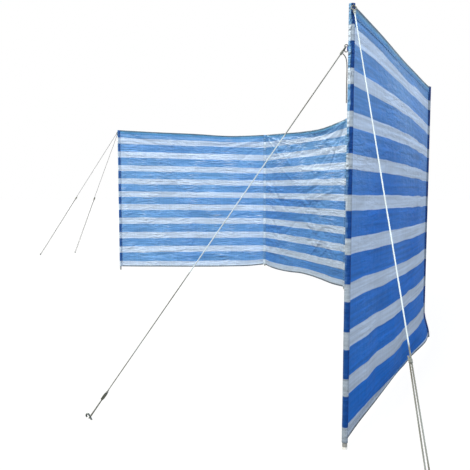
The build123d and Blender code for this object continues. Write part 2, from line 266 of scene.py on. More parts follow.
def plain_finish(name, colour, tint, grain, rough, metal=0.0, bump=0.1 * MM, stretch=(1, 1, 1), **more):
    """A finish with two shades and relief from one grain, whose size is in metres."""
    made, tree, out = new_material(name)
    place = add(tree, "TexCoord").outputs["Object"]
    sized = add(tree, "Mapping", {"Vector": place, "Scale": [s / grain for s in stretch]})
    spots = add(tree, "TexNoise", {"Vector": sized, "Scale": 1.0, "Detail": 4.0})
    mixed = add(tree, "ValToRGB", {0: spots}, stops=((0.38, linear(colour)), (0.64, linear(tint))))
    roughness = add(tree, "MapRange", (spots, 0.3, 0.7, rough, rough + 0.14))
    relief = add(tree, "Bump", {"Height": spots, "Strength": 0.5, "Distance": bump})
    face = add(
        tree, "BsdfPrincipled",
        {"Base Color": mixed, "Roughness": roughness, "Normal": relief, "Metallic": metal, **more},
    )
    tree.links.new(face.outputs[0], out.inputs[0])
    return made


def laid_fibre(name, clean, dirty, rough):
    """Laid polypropylene rope: matt fibres that run along each strand, greyer where handled.

    The mesh says how dirty a point is.
    """
    made, tree, out = new_material(name)
    uv = add(tree, "UVMap", uv_map="cloth")
    dirt = add(tree, "Attribute", attribute_name="dirt").outputs["Fac"]
    # Fibres 0.4 mm thick, on strands that turn once in a lay
    sized = add(tree, "Mapping", {"Vector": uv, "Scale": (1 / (12 * MM), 1 / (0.4 * MM), 1.0)})
    fibre = add(tree, "TexNoise", {"Vector": sized, "Scale": 1.0, "Detail": 3.0})
    smears = add(tree, "TexNoise", {"Vector": uv, "Scale": 9.0, "Detail": 3.0})
    both = add(tree, "Math", (fibre, 0.5, smears), operation="MULTIPLY_ADD")
    uneven = add(tree, "MapRange", (both, 0.55, 0.95, -0.14, 0.14))
    share = add(tree, "Math", (uneven, dirt), operation="ADD", use_clamp=True)
    mixed = add(tree, "Mix", {0: share, 6: linear(clean), 7: linear(dirty)}, data_type="RGBA")
    relief = add(tree, "Bump", {"Height": fibre, "Strength": 0.6, "Distance": 0.2 * MM})
    face = add(
        tree, "BsdfPrincipled",
        {"Base Color": mixed.outputs[2], "Roughness": rough, "Normal": relief, "Sheen Weight": 0.3},
    )
    tree.links.new(face.outputs[0], out.inputs[0])
    return made


# Windward bays, polished by sand and paler, part bleaching and part painted light, with a soft shine and
# pale lines on every crease
BAY_CLOTH = woven_cloth("woven_polyethylene_bays", 0.5, 0.7, 15 * MM, 0.3, "#166FCE", "#74AEE6")
# Sheltered bays keep a duller film, so they look deeper blue and shine less
SHELTERED_CLOTH = woven_cloth(
    "woven_polyethylene_sheltered_bays", 0.22, 0.5, 12 * MM, 0.3, "#1470CC", "#74AEE6"
)
# Pockets hang loose and matt, in broad soft creases, and little light comes through them
POCKET_CLOTH = woven_cloth("woven_polyethylene_pockets", 0.2, 0.9, 28 * MM, 0.12, "#0350AA", "#78ADE0")
# Hems are doubled and sewn flat, so they look denser and smoother than the bays
HEM_CLOTH = woven_cloth("woven_polyethylene_hems", 0.4, 0.4, 12 * MM, 0.12, "#1F74C4", "#7ABCE4")
# Spun polyester thread, a matt broken line along the seams
THREAD = plain_finish("polyester_thread", "#AFC3DA", "#94AECB", 1.5 * MM, 0.6)
# Near ropes, bright where nobody handles them
WHITE_ROPE = laid_fibre("laid_polypropylene_rope", "#CBDBE6", "#504E3F", 0.75)
# Far ropes and the free end, blackened by weather
DARK_ROPE = laid_fibre("weathered_polypropylene_rope", "#141416", "#0B0B0D", 0.8)
# Drawn steel tube, galvanised: pale grey with a spangle of 6 mm
POLE_STEEL = plain_finish("galvanised_steel_tube", "#C9CDD0", "#A9AFB4", 6 * MM, 0.34, metal=0.85)
# Spike of the same steel, scratched by sand along its length
FOOT_STEEL = plain_finish(
    "scratched_steel_foot", "#F1F3F4", "#DDE0E3", 2 * MM, 0.4, metal=0.3, stretch=(1, 1, 0.15)
)
# Bent wire link, black enamel with worn grey spots
LINK_WIRE = plain_finish("black_enamelled_wire", "#17191B", "#2D3033", 2 * MM, 0.32)
# Moulded polypropylene sliders with a fine satin grain, one dark olive grey and the others pale grey
DARK_RUNNER = plain_finish("dark_moulded_polypropylene", "#4A4F47", "#353A34", 1.2 * MM, 0.45)
PALE_RUNNER = plain_finish("pale_moulded_polypropylene", "#B9BDB6", "#A2A79F", 1.2 * MM, 0.45)
# Zinc-plated steel wire, bluish grey, dull in patches
PEG_STEEL = plain_finish("zinc_plated_steel_wire", "#87908F", "#59615F", 4 * MM, 0.32, metal=1.0)


# Camera, light and floor


CAMERA_PLACE = (-0.8924, -4.568, 0.8336)
CAMERA_DIP = 4.827  # degrees below level
LENS, SENSOR = 43.237, 36
WORLD_LIGHT = 0.72
FLOOR_SIZE = 60
FLOOR_DROP = 0.3 * MM  # below the ground, so that nothing lies in it
FLOOR_GLOW = 0.9  # keeps the floor white under faint shadows
FLOOR_SHADES = ("#4A4A49", "#4D4D4C")
SAND = "#89857D"  # what the floor throws back at the object
# Direction that each lamp stands in, its height in degrees, its strength, how broad it looks, its colour
LAMPS = {
    "key": (-128, 46, 3.0, 16, "#FFF6E0"),
    "front_gloss": (-72, 32, 1.15, 8, "#F4F8FF"),
    "side_fill": (8, 30, 0.85, 20, "#D6E6FF"),
    "rear_gloss": (142, 24, 0.9, 10, "#FFFDF8"),
}


def stand_camera():
    data = bpy.data.cameras.new("camera")
    data.lens = LENS
    data.sensor_width = SENSOR
    camera = bpy.data.objects.new("camera", data)
    camera.location = CAMERA_PLACE
    camera.rotation_euler = (radians(90 - CAMERA_DIP), 0, 0)
    bpy.context.collection.objects.link(camera)
    bpy.context.scene.camera = camera


def light_studio():
    """White surroundings, a broad soft lamp from the front left and weaker ones for gloss and shade."""
    scene = bpy.context.scene
    scene.view_settings.view_transform = "Standard"
    world = bpy.data.worlds.new("studio")
    world.use_nodes = True
    world.node_tree.nodes.clear()
    tree = world.node_tree
    seen = add(tree, "Background", {"Color": (1, 1, 1, 1), "Strength": 1.0})
    lit = add(tree, "Background", {"Color": (0.93, 0.97, 1, 1), "Strength": WORLD_LIGHT})
    sight = add(tree, "LightPath")
    mixed = add(tree, "MixShader", (sight.outputs["Is Camera Ray"], lit, seen))
    add(tree, "OutputWorld", {0: mixed})
    scene.world = world
    for name, (heading, height, energy, spread, colour) in LAMPS.items():
        data = bpy.data.lights.new(name, "SUN")
        data.energy = energy
        data.angle = radians(spread)
        data.color = linear(colour)[:3]
        lamp = bpy.data.objects.new(name, data)
        lamp.rotation_euler = (radians(90 - height), 0, radians(90 + heading))
        bpy.context.collection.objects.link(lamp)


def lay_floor():
    """A plain white floor on which shadows stay faint, and which lights the object no more than sand."""
    bpy.ops.mesh.primitive_plane_add(size=FLOOR_SIZE, location=(0, 0, -FLOOR_DROP))
    ground = bpy.context.object
    ground.name = "ground"
    pale = plain_finish(
        "matt_white_floor", *FLOOR_SHADES, 1.5, 0.85, bump=0.02 * MM,
        **{"Emission Color": (1, 1, 1, 1), "Emission Strength": FLOOR_GLOW},
    )
    tree = pale.node_tree
    out = next(node for node in tree.nodes if node.type == "OUTPUT_MATERIAL")
    seen = out.inputs[0].links[0].from_socket
    sand = add(tree, "BsdfDiffuse", {"Color": linear(SAND)})
    sight = add(tree, "LightPath")
    both = add(tree, "MixShader", (sight.outputs["Is Camera Ray"], sand, seen))
    tree.links.new(both.outputs[0], out.inputs[0])
    ground.data.materials.append(pale)


# Meshes


def deselect():
    for o in bpy.context.selected_objects:
        o.select_set(False)


def finish(piece, name, material, thickness=0.0, offset=0.0, angle=60):
    """Names a new piece, gives it its material and a sheet its thickness, smooths it and attaches it to
    the root.
    """
    piece.name = name
    piece.data.name = name
    piece.data.materials.clear()
    piece.data.materials.append(material)
    deselect()
    piece.select_set(True)
    bpy.context.view_layer.objects.active = piece
    if thickness:
        wall = piece.modifiers.new("wall", "SOLIDIFY")
        wall.thickness = thickness
        wall.offset = offset
        bpy.ops.object.modifier_apply(modifier=wall.name)
    bpy.ops.object.shade_smooth_by_angle(angle=radians(angle))
    piece.select_set(False)
    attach(piece, "root")
    return piece


def stripes_above(whites, height, white_share):
    """How many stripes of a print lie above a height on the cloth, with half of each one white."""
    below = (CLOTH_HEIGHT - height) / MM
    n = 0
    while n < len(whites) - 2 and below > whites[n + 1]:
        n += 1
    pitch = whites[n + 1] - whites[n]
    half = min(white_share * pitch, WIDEST_WHITE / MM) / 2
    past = below - whites[n]
    if past < -half:
        return 0.25 * below / (whites[0] - half)
    if past < half:
        return n + 0.5 + 0.25 * past / half
    if past > pitch - half:
        return n + 1.5 - 0.25 * (pitch - past) / half
    return n + 0.75 + 0.5 * (past - half) / (pitch - 2 * half)


def printed(bay, share, height):
    """How many stripes of its print lie above a point of a bay."""
    first, mid, last = (stripes_above(whites, height, WHITE_SHARES[bay]) for whites in PRINTS[bay])
    if share < 0.5:
        return first + (mid - first) * 2 * share
    return mid + (last - mid) * (2 * share - 1)


def shaped_sheet(columns, rows, place, pattern):
    """A sheet whose points stand where place(s, t) says, with s and t from 0 to 1 over it.

    pattern(s, t) gives the point of the cloth's own flat pattern there, in metres, how many stripes are
    above it, and how faded, soiled and grimy it is.
    """
    deselect()
    bpy.ops.mesh.primitive_grid_add(x_subdivisions=columns, y_subdivisions=rows, size=1)
    piece = bpy.context.object
    mesh = piece.data
    spots = [(v.co.x + 0.5, v.co.y + 0.5) for v in mesh.vertices]
    patterns = [pattern(*spot) for spot in spots]
    while mesh.uv_layers:
        mesh.uv_layers.remove(mesh.uv_layers[0])
    layer = mesh.uv_layers.new(name="cloth")
    for loop in mesh.loops:
        layer.data[loop.index].uv = patterns[loop.vertex_index][:2]
    turns = mesh.attributes.new("turns", "FLOAT", "POINT")
    wear_and_light = mesh.attributes.new("wear_and_light", "FLOAT_VECTOR", "POINT")
    for n, (vertex, spot) in enumerate(zip(mesh.vertices, spots)):
        vertex.co = place(*spot)
        turns.data[n].value = patterns[n][2]
        wear_and_light.data[n].vector = patterns[n][3]
    return piece


def close_seams(piece):
    """Joins the edges of a sheet that meet."""
    bm = bmesh.new()
    bm.from_mesh(piece.data)
    bmesh.ops.remove_doubles(bm, verts=bm.verts, dist=0.01 * MM)
    bmesh.ops.dissolve_degenerate(bm, edges=bm.edges, dist=0.005 * MM)
    bm.to_mesh(piece.data)
    bm.free()


def built_mesh(name, points, faces, prints=None, dirt=None):
    """A piece from points and faces, with a flat pattern if prints gives each face's corners."""
    mesh = bpy.data.meshes.new(name)
    mesh.from_pydata(points, [], faces)
    if prints:
        layer = mesh.uv_layers.new(name="cloth")
        corner = 0
        for face in prints:
            for at in face:
                layer.data[corner].uv = at
                corner += 1
    if dirt:
        mesh.attributes.new("dirt", "FLOAT", "POINT").data.foreach_set("value", dirt)
    mesh.update()
    piece = bpy.data.objects.new(name, mesh)
    bpy.context.collection.objects.link(piece)
    return piece


# Shape of the cloth


def middle(node):
    low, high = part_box(node)
    return (Vector(low) + Vector(high)) / 2


def smooth(low, high, value):
    """0 below low, 1 above high and an easy curve between."""
    share = min(max((value - low) / (high - low), 0.0), 1.0)
    return share * share * (3 - 2 * share)


def waver(x, y, z):
    """Smooth noise at a point, from about -1 to 1, with cells 1 wide."""
    return noise.noise(Vector((x, y, z)))


def along(angle):
    return Vector((cos(radians(angle)), sin(radians(angle)), 0))


POLES = [Vector((*middle(f"pole_{i + 1}").xy, 0)) for i in range(5)]
TOPS = [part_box(f"sleeve_{i + 1}")[1][2] for i in range(5)]
BOTTOMS = [top - CLOTH_HEIGHT for top in TOPS]
CHORDS = [(b - a).length for a, b in zip(POLES, POLES[1:])]

# How far each bay's middle stands out at these heights above its bottom edge, beside its bulge
BILLOW_HEIGHTS = (0.0, 0.14, 0.30, 0.55, 0.80, 1.10, 1.24, 1.36)
BILLOWS = (
    (0.4, 0.7, 1.0, 1.1, 1.2, 1.0, 0.8, 0.5),
    (0.3, 0.8, 1.2, 1.3, 1.1, 1.2, 0.9, 0.4),
    (0.2, 0.6, 1.1, 1.4, 1.3, 1.3, 1.1, 0.3),
)
# How far the last bay stands out, in mm: heights above its bottom edge, shares of its length, and a row
# of distances for each height
NEAR_HEIGHTS = (0.0, 0.10, 0.30, 0.55, 0.85, 1.10, 1.26, 1.36)
NEAR_SHARES = (0.0, 0.1, 0.25, 0.4, 0.5, 0.6, 0.75, 0.9, 1.0)
NEAR_BILLOW = (
    (0, 18, 20, 17, 11, 9, 6, 0, 0),
    (0, 26, 35, 36, 34, 30, 19, 8, 0),
    (0, 18, 27, 31, 31, 27, 17, 5, 0),
    (0, 12, 24, 29, 30, 26, 17, 6, 0),
    (0, 11, 23, 30, 31, 30, 23, 10, 0),
    (0, 10, 22, 31, 34, 34, 27, 13, 0),
    (0, -2, 2, 6, 9, 11, 11, 6, 0),
    (0, -4, -5, -4, -2, 1, 4, 3, 0),
)
LOOSE_POLE = 3  # the pocket of this pole has a loose mouth that stands off to the right
LOOSE_MOUTH = Vector((28 * MM, -7 * MM, 0))
LOOSE_HEIGHT = 150 * MM
LOOSE_START, LOOSE_END = 0.013, 0.3  # shares of a bay over which the cloth comes back into line
SEAM_FLAT = 19 * MM  # from a pole's axis to where the cloth is free to crease
PUCKER_PEAK = 27 * MM  # from a pole's axis to the deepest puckers
# How strong each bay's creases are, in mm: long level ones, sharp large ones, sharp small ones, puckers
CREASES = ((2.0, 3.0, 1.2, 2.0), (1.8, 11.0, 6.5, 3.6), (1.2, 4.0, 1.6, 2.2), (0.7, 1.6, 0.5, 1.4))
# Folds that run from point to point: x and y of both ends on the cloth, height and width in mm
FOLDS = (
    (
        (0.06, 1.33, 0.42, 1.22, 5, 14),
        (0.05, 1.30, 0.55, 1.29, -5, 16),
        (1.45, 1.32, 1.05, 1.20, -6, 16),
        (1.46, 1.26, 1.15, 1.02, 4, 14),
        (0.30, 0.10, 0.75, 0.16, 5, 14),
        (0.85, 0.13, 1.30, 0.07, -5, 16),
        (0.10, 0.62, 0.70, 0.60, 3, 10),
        (0.55, 0.74, 1.35, 0.71, -3, 10),
    ),
    (
        (0.04, 1.34, 0.36, 1.08, -7, 9),
        (0.05, 1.33, 0.26, 1.16, -6, 9),
        (0.36, 1.16, 0.56, 1.00, -7, 9),
        (0.03, 1.35, 0.62, 1.20, -7, 9),
        (1.47, 1.35, 1.20, 0.92, 10, 10),
        (1.47, 1.34, 0.90, 1.24, -9, 10),
        (1.20, 1.24, 1.40, 1.02, -8, 9),
        (0.30, 1.02, 0.62, 0.86, -6, 10),
        (1.46, 1.33, 1.02, 1.16, -9, 17),
        (1.46, 1.28, 1.08, 1.02, 8, 15),
        (1.45, 1.15, 1.10, 1.12, -6, 12),
        (0.62, 1.10, 1.10, 1.14, 7, 12),
        (0.75, 0.98, 1.42, 0.93, -8, 11),
        (1.30, 0.78, 1.00, 0.72, -9, 12),
        (1.42, 0.72, 0.92, 0.68, 7, 12),
        (0.10, 0.70, 0.62, 0.66, 5, 12),
        (0.60, 0.50, 1.05, 0.55, -5, 12),
        (0.40, 0.34, 0.66, 0.50, 6, 13),
        (0.92, 0.20, 1.14, 0.38, -12, 11),
        (1.06, 0.18, 1.28, 0.34, -11, 11),
        (0.15, 0.16, 0.60, 0.10, -6, 14),
    ),
    (
        (0.05, 1.32, 0.45, 1.14, 7, 16),
        (1.45, 1.32, 1.10, 1.10, -7, 16),
        (0.20, 0.80, 0.80, 0.74, 5, 14),
        (0.70, 0.42, 1.30, 0.50, -5, 14),
        (0.10, 0.12, 0.55, 0.20, 6, 15),
    ),
    (
        (1.15, 0.06, 1.12, 0.40, -6, 70),
        (1.30, 0.05, 1.27, 0.36, 4, 60),
        (0.74, 0.06, 0.70, 0.30, -6, 60),
        (0.94, 0.08, 0.92, 0.40, 5, 70),
        (0.56, 0.16, 0.60, 0.44, -4, 55),
        (0.20, 0.10, 0.22, 0.42, -4, 45),
        (0.05, 1.28, 0.40, 1.10, 2, 30),
        (1.44, 0.74, 1.10, 0.80, -3, 20),
    ),
)


def between(a, pull_a, b, pull_b, t):
    """A point on the curve from a to b that leaves and arrives along the pulls."""
    return (
        a * (2 * t**3 - 3 * t**2 + 1)
        + pull_a * (t**3 - 2 * t**2 + t)
        + b * (3 * t**2 - 2 * t**3)
        + pull_b * (t**3 - t**2)
    )


def eased(places, values, at):
    """A smooth curve through values at places."""
    k = 0
    while k < len(places) - 2 and at > places[k + 1]:
        k += 1
    step = places[k + 1] - places[k]
    t = min(max((at - places[k]) / step, 0.0), 1.0)

    def slope(n):
        low, high = max(n - 1, 0), min(n + 1, len(places) - 1)
        return (values[high] - values[low]) / (places[high] - places[low])

    return between(values[k], slope(k) * step, values[k + 1], slope(k + 1) * step, t)


def along_edge(values, share):
    """A smooth curve through values in mm at even steps."""
    steps = len(values) - 1
    return eased([n / steps for n in range(steps + 1)], values, share) * MM


@lru_cache(maxsize=None)
def near_rows(share):
    """How far the last bay stands out at each of its heights, at one place along it."""
    return tuple(eased(NEAR_SHARES, row, share) for row in NEAR_BILLOW)


def stands_out(bay, share, y):
    """How far a bay's smooth shape stands out from the straight line between its poles."""
    if bay < len(BILLOWS):
        return BULGES[bay] * 4 * share * (1 - share) * eased(BILLOW_HEIGHTS, BILLOWS[bay], y)
    return eased(NEAR_HEIGHTS, near_rows(share), y) * MM


def loosened(bay, share, y):
    """How far the loose mouth of a pocket takes the cloth beside it along."""
    if bay not in (LOOSE_POLE - 1, LOOSE_POLE):
        return Vector((0, 0, 0))
    away = share if bay == LOOSE_POLE else 1 - share
    near = 1 - min(max(away - LOOSE_START, 0) / (LOOSE_END - LOOSE_START), 1)
    return LOOSE_MOUTH * near * (1 - smooth(0.0, LOOSE_HEIGHT, y))


def mouth_at(pole, y):
    """How far the loose mouth of a pocket stands off at a height."""
    return loosened(pole, 0.0, y) if pole == LOOSE_POLE else Vector((0, 0, 0))


def ridge(x, y, seed):
    """A net of sharp creases, from 0 between them to 1 on them."""
    return 1 - min(1.0, 2.4 * abs(waver(x, y, seed)))


def crease_height(bay, x, y):
    """How far creases lift the cloth off its smooth shape.

    The factors on x and y are cells of noise per metre.
    """
    level, large, small, pucker = (strength * MM for strength in CREASES[bay])
    span = CHORDS[bay]
    seed = 7.3 * bay + 2.1
    side = min(x, span - x)
    edge = min(y, CLOTH_HEIGHT - y)
    free = smooth(SEAM_FLAT, 90 * MM, side)  # the pockets hold the cloth flat
    calm = 0.35 + 0.65 * smooth(30 * MM, 120 * MM, edge)
    patch = smooth(-0.35, 0.45, waver(x * 2.6, y * 3.4, seed + 40))
    wave = level * waver(x * 3.2, y * 44, seed)
    wave += 0.6 * level * waver(x * 6, y * 90, seed + 9)
    bend = 0.05 * waver(x * 5, y * 5, seed + 5)
    wave += patch * large * (ridge(x * 4.2 + bend * 12, (y + bend) * 14, seed + 17) - 0.35)
    wave += patch * small * (ridge(x * 11, (y + bend * 0.6) * 27, seed + 23) - 0.35)
    total = wave * free * calm
    for x0, y0, x1, y1, height, width in FOLDS[bay]:
        height, width = height * MM, width * MM
        run, rise = x1 - x0, y1 - y0
        size = run * run + rise * rise
        t = ((x - x0) * run + (y - y0) * rise) / size
        if not -0.15 < t < 1.15:
            continue
        off = abs((x - x0) * rise - (y - y0) * run) / sqrt(size)
        if off > 3 * width:
            continue
        ends = smooth(-0.1, 0.2, t) * (1 - smooth(0.7, 1.12, t))
        total += height * ends * exp(-((off / width) ** 1.5)) * smooth(SEAM_FLAT, 45 * MM, side)
    # Puckers run square to the seams, and fade away from them
    from_seam = smooth(SEAM_FLAT, PUCKER_PEAK, side) * exp(-max(side - PUCKER_PEAK, 0) / (60 * MM))
    total += pucker * from_seam * waver(x * 5, y * 62, seed + 31)
    top_seam = CLOTH_HEIGHT - TOP_HEM - y
    if top_seam > 0:
        total += 0.9 * pucker * exp(-top_seam / (45 * MM)) * free * waver(x * 26, y * 7, seed + 37)
    low_seam = y - BOTTOM_HEM
    if low_seam > 0:
        total += pucker * exp(-low_seam / (55 * MM)) * free * waver(x * 22, y * 8, seed + 43)
    return total


def cloth_point(bay, x, y, lift=0.0):
    """A point of a bay's cloth: x along it from its first pole, y up from its bottom edge.

    lift is how far the point stands off the cloth, towards the bay's outer side.
    """
    span = CHORDS[bay]
    forward = (POLES[bay + 1] - POLES[bay]) / span
    outward = Vector((-forward.y, forward.x, 0))
    share = x / span
    hold = smooth(0.0, 18 * MM, min(x, span - x))
    stand = stands_out(bay, share, y)
    slope = (stands_out(bay, share + 0.01, y) - stands_out(bay, share - 0.01, y)) / (0.02 * span)
    normal = (outward - forward * slope).normalized()
    bottom = BOTTOMS[bay] + (BOTTOMS[bay + 1] - BOTTOMS[bay]) * share
    top = TOPS[bay] + (TOPS[bay + 1] - TOPS[bay]) * share
    below = CLOTH_HEIGHT - y
    sag = along_edge(TOP_SAGS[bay], share)
    drop = sag * (1 - smooth(12 * MM, 170 * MM, below))
    rise = along_edge(BOTTOM_RISES[bay], share) * (1 - smooth(8 * MM, 150 * MM, y))
    level = bottom + (top - bottom) * y / CLOTH_HEIGHT - drop + rise
    roll = along_edge(ROLLS[bay], share)
    roll *= smooth(20 * MM, 62 * MM, below) * (1 - smooth(62 * MM, 130 * MM, below))
    stand += (crease_height(bay, x, y) + roll) * hold
    flat = POLES[bay] + forward * x + outward * stand + normal * lift + loosened(bay, share, y)
    return flat + Vector((0, 0, level))


# Pieces of cloth


BAY_COLUMNS, BAY_ROWS = 184, 166
HEM_COLUMNS = 200
POCKET_ROWS = 190
CLOSING_ROWS = 3  # that draw in over a pole's head
PATTERN_STEP = 1.6  # metres from one bay's place in the cloth's pattern to the next
POCKET_STEP = 0.13  # and from one pocket's to the next
BACK_STEP = 7.3  # and from the front of a hem to its back
# How pale each bay's blue is at its top, middle and bottom, and how grey its white stripes are there: part
# fading and soil, part painted light and shade, so the far bays and the tops are paler and the near whites
# darker towards the bottom
PALING = ((0.95, 0.9, 0.95), (1.0, 0.62, 0.48), (0.3, 0.2, 0.1), (0.95, 0.14, 0.0))
GREYING = ((0.0, 0.05, 0.0), (0.0, 0.15, 0.3), (0.2, 0.4, 0.5), (0.05, 0.4, 0.8))
SHELTERED_FROM = 2  # the bays from this one on were never polished by sand, and keep a duller film


def at_height(values, y):
    """Blends the values for a bay's top, middle and bottom."""
    top, mid, bottom = values
    share = y / CLOTH_HEIGHT
    if share > 0.5:
        return mid + (top - mid) * smooth(0.5, 1.0, share)
    return bottom + (mid - bottom) * smooth(0.0, 0.5, share)


def wear_and_light_at(bay, x, y, grime_and_shade=0.0):
    """How pale, grey and dark a bay's cloth is at a point: part fading, soiling and grime, part painted
    light and shade.
    """
    spot = waver(x * 2.1, y * 2.9, 4.7 * bay + 60)
    pale_share = at_height(PALING[bay], y) + 0.25 * spot
    return min(max(pale_share, 0.0), 1.0), at_height(GREYING[bay], y), grime_and_shade


def hang_bay(bay):
    span = CHORDS[bay]
    inset = POCKET_RADIUS + BAY_GAP
    low, high = EDGE_INSET, CLOTH_HEIGHT - EDGE_INSET

    def at(s, t):
        return inset + (span - 2 * inset) * s, low + (high - low) * t

    def pattern(s, t):
        x, y = at(s, t)
        ripple = 0.035 * waver(x * 6, y * 5, 8.3 * bay) * smooth(0, 0.2, min(x, span - x))
        # Painted shade: the doubled cloth beside the pocket is darker
        seam = 0.2 * (1 - smooth(18 * MM, 27 * MM, min(x, span - x)))
        return x + PATTERN_STEP * bay, y, printed(bay, x / span, y) + ripple, wear_and_light_at(bay, x, y, seam)

    piece = shaped_sheet(BAY_COLUMNS, BAY_ROWS, lambda s, t: cloth_point(bay, *at(s, t)), pattern)
    cloth = BAY_CLOTH if bay < SHELTERED_FROM else SHELTERED_CLOTH
    finish(piece, f"bay_cloth_{bay + 1}", cloth, BAY_THICKNESS)
    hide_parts(f"bay_{bay + 1}")
    return piece


def hem_profile(depth):
    """Where the folded band runs, as y from the fold and lift: up one face, over, down the other."""
    face = FOLD_HALF - 0.3 * MM
    side = [(-depth, face * 1.1), (-depth + 3 * MM, face * 0.9), (-depth + 6 * MM, face)]
    side += [(-depth * share, face * 1.25) for share in (0.66, 0.5, 0.34, 0.2)]
    side += [(-3.2 * MM, face * 1.1), (-1.2 * MM, face * 0.86), (-0.3 * MM, face * 0.45)]
    return [(y, -lift) for y, lift in side] + [(0.0, 0.0)] + [(y, lift) for y, lift in reversed(side)]


GRIME_AND_SHADE_FOLD = (16 * MM, 16 * MM, 13 * MM, 15 * MM)  # width of the darkening along the fold of each bay's hems, part dirt and part painted shade


def fold_hem(bay, depth, at_top):
    """The band of cloth folded over an edge of a bay and sewn down."""
    profile = hem_profile(depth)
    span = CHORDS[bay]
    seed = 3.7 * bay + (11 if at_top else 29)
    turn = 1 if at_top else -1
    start = CLOTH_HEIGHT if at_top else 0.0

    def at(s, t):
        y, lift = profile[round(t * (len(profile) - 1))]
        x = SEAM_CLEAR + (span - 2 * SEAM_CLEAR) * s
        puff = smooth(-depth, -depth + 8 * MM, y) * smooth(0, 6 * MM, -y)
        puff *= 0.5 + 0.5 * waver(x * 38, y * 30, seed)
        edge = (1 - smooth(-depth, -depth + 3 * MM, y)) * waver(x * 30, lift * 500, seed + 5)
        swell = (1.1 * MM * puff + 0.5 * MM * max(edge, -0.3)) * (1 if lift > 0 else -1 if lift < 0 else 0)
        return x, start + turn * y, turn * (lift + swell)

    def place(s, t):
        x, y, lift = at(s, t)
        return cloth_point(bay, x, y, lift)

    def pattern(s, t):
        x, y, lift = at(s, t)
        fold = abs(y - start)
        # Darker along the fold and along the stitched edge, part dirt and part painted shade. The top hem
        # is paler near its fold, part fading and part painted light
        grime_and_shade = 1 - smooth(0.4, 1.1, fold / GRIME_AND_SHADE_FOLD[bay])
        grime_and_shade += 0.07 * smooth(depth - 6 * MM, depth - 3 * MM, fold)
        pale_share, grey_share, _ = wear_and_light_at(bay, x, y)
        if at_top:
            pale_share = max(pale_share, 0.9) - 0.65 * smooth(6 * MM, 28 * MM, fold)
        u = x + PATTERN_STEP * bay + (0 if lift < 0 else BACK_STEP)
        return u, y, printed(bay, x / span, y), (pale_share, grey_share, min(grime_and_shade, 1.0))

    piece = shaped_sheet(HEM_COLUMNS, len(profile) - 1, place, pattern)
    where = "top" if at_top else "bottom"
    finish(piece, f"{where}_hem_cloth_{bay + 1}", HEM_CLOTH, FOLD_THICKNESS, -1.0, 75)
    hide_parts(f"{where}_hem_{bay + 1}")
    return piece


def seam_directions(pole):
    """Plan directions, in radians, in which cloth leaves a pole."""
    found = []
    for bay, end in ((pole - 1, 1), (pole, 0)):
        if 0 <= bay < len(CHORDS):
            swing = 2 * atan(2 * BULGES[bay] / CHORDS[bay])
            run = POLES[bay + 1] - POLES[bay]
            heading = Vector((1, 0)).angle_signed(run.xy) * -1
            found.append(heading + swing if end == 0 else heading - swing + pi)
    return found


def lip_half():
    """Half the outline of a pocket's lip, from the tube to its end: x along it, y off its middle."""
    leave = radians(LIP_LEAVE)
    a = Vector((POCKET_RADIUS * cos(leave), POCKET_RADIUS * sin(leave)))
    b = Vector((POCKET_RADIUS + LIP_NECK, FOLD_HALF))
    pull_a, pull_b = Vector((sin(leave), -cos(leave))) * 9 * MM, Vector((9 * MM, 0))
    half = [between(a, pull_a, b, pull_b, n / 6) for n in range(7)]
    end = POCKET_RADIUS + LIP
    half += [Vector((x, FOLD_HALF)) for x in (end - 3 * MM, end - 1.2 * MM)]
    half.append(Vector((end - 0.3 * MM, FOLD_HALF * 0.7)))
    return half, leave


def pocket_outline(pole):
    """A pocket's outline in plan, each point with the point of its spine that it closes on."""
    half, leave = lip_half()
    angles = sorted(a % (2 * pi) for a in seam_directions(pole))
    points = []
    for n, angle in enumerate(angles):
        turn = Matrix.Rotation(angle, 2)
        for x, y in half:
            points.append((turn @ Vector((x, -y)), turn @ Vector((max(x - SPINE_BACK, 0), 0))))
        for x, y in reversed(half):
            points.append((turn @ Vector((x, y)), turn @ Vector((max(x - SPINE_BACK, 0), 0))))
        after = angles[(n + 1) % len(angles)] + (2 * pi if n + 1 == len(angles) else 0)
        first, last = angle + leave, after - leave
        steps = max(2, round((last - first) / radians(ROUND_STEP)))
        for k in range(1, steps):
            a = first + (last - first) * k / steps
            points.append((Vector((cos(a), sin(a))) * POCKET_RADIUS, Vector((0, 0))))
    return points


LIT_SIDE = Vector((-0.98, 0.2))  # the side of each pocket towards the light, painted paler: part fading, part painted light
LEAST_PALE = (0.2, 0.6, 0.5, 0.0, 0.0)  # the least that each pocket is painted paler anywhere
SHADED = (0.35, 0.2, 0.28, 0.7, 0.5)  # how dark the painted shade is on the side of each pocket away from the light


def tube_share(point):
    """1 on the tube of a pocket, 0 on its lips."""
    return 1 - smooth(POCKET_RADIUS, POCKET_RADIUS + 5 * MM, point.length)


